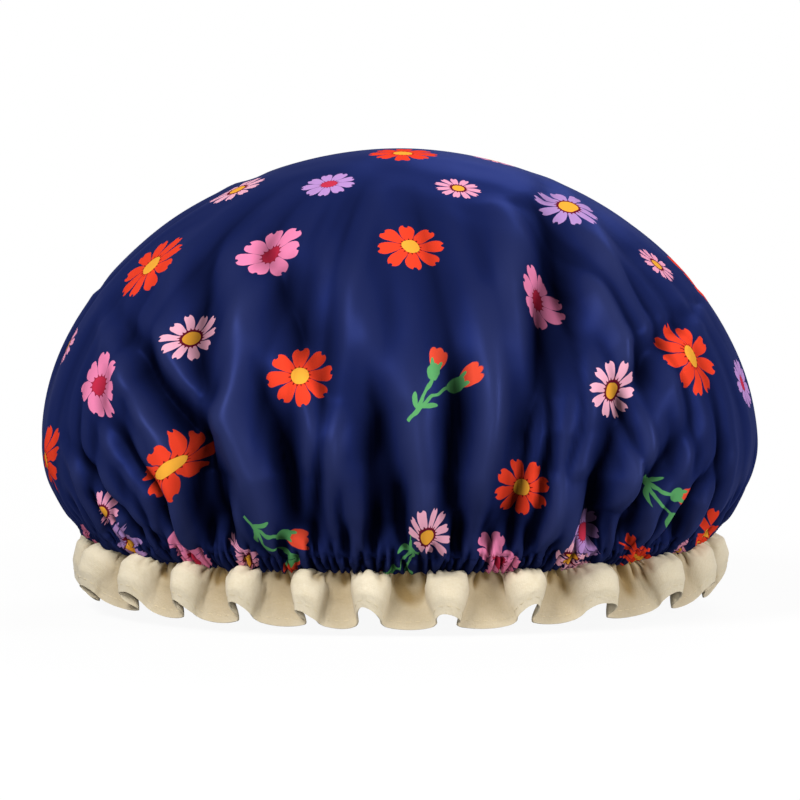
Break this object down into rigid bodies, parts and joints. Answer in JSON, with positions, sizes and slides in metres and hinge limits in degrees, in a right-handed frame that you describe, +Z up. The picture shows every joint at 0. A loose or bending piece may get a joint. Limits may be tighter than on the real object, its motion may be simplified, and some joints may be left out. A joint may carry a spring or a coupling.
{
  "type": "shower cap",
  "caption": "Puffed satin shower cap with a waterproof lining, an elastic hem in a sewn casing and a gathered ruffle round its mouth.",
  "frame": {"origin": "middle of the bounding box in X and Y, on the surface that the ruffle's lower edge stands on", "axes": "+X to the wearer's left as the front is faced, -Y out of the front, +Z up through the crown"},
  "size_m": [0.2372, 0.2168, 0.1525],
  "materials": {
    "satin": "printed navy satin with a soft sheen",
    "film": "thin translucent waterproof film",
    "cotton": "cream plain-weave cotton, folded double",
    "elastic_weave": "white woven flat elastic",
    "navy_thread": "navy spun polyester thread",
    "cream_thread": "cream spun polyester thread"
  },
  "bodies": {
    "root": {"outer_crown": "satin", "waterproof_lining": "film", "elastic_band": "elastic_weave", "elastic_lap_stitch": "navy_thread", "casing_stitch": "navy_thread", "seam_stitch": "navy_thread", "ruffle": "cotton", "ruffle_hem_stitch": "cream_thread"}
  },
  "joints": []
}
